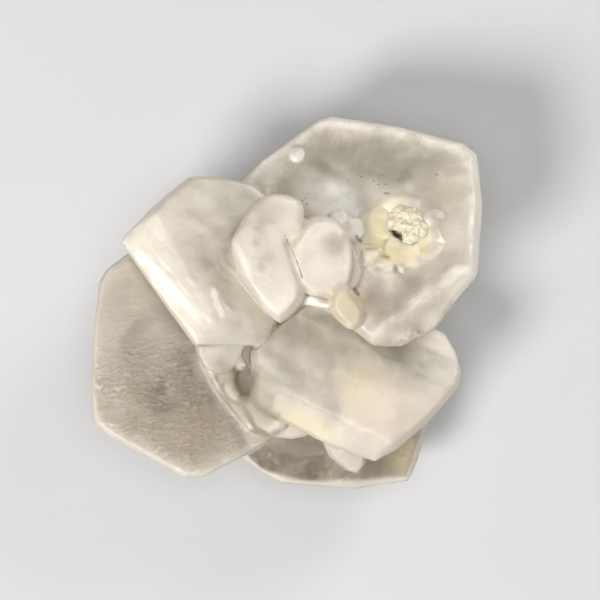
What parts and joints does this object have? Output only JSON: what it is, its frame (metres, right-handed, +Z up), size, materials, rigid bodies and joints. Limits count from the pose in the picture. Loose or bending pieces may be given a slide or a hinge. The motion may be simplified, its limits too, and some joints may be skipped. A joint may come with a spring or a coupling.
{
  "type": "gypsum rose",
  "caption": "Loose cluster of thick, milky-clear tabular crystals grown through each other, with crumbly clay in a hollow of the largest one.",
  "frame": {"origin": "centre of the bounding box, on the surface that the rose rests on", "axes": "+Z up from the resting surface, towards the camera of the picture; +X to the picture's right, +Y to its top"},
  "size_m": [0.0451, 0.0431, 0.0197],
  "materials": {
    "gypsum": "milky, satin crystal faces",
    "clay": "dry, crumbly"
  },
  "bodies": {
    "root": {"rose": "gypsum", "clay_crust": "clay"}
  },
  "joints": []
}
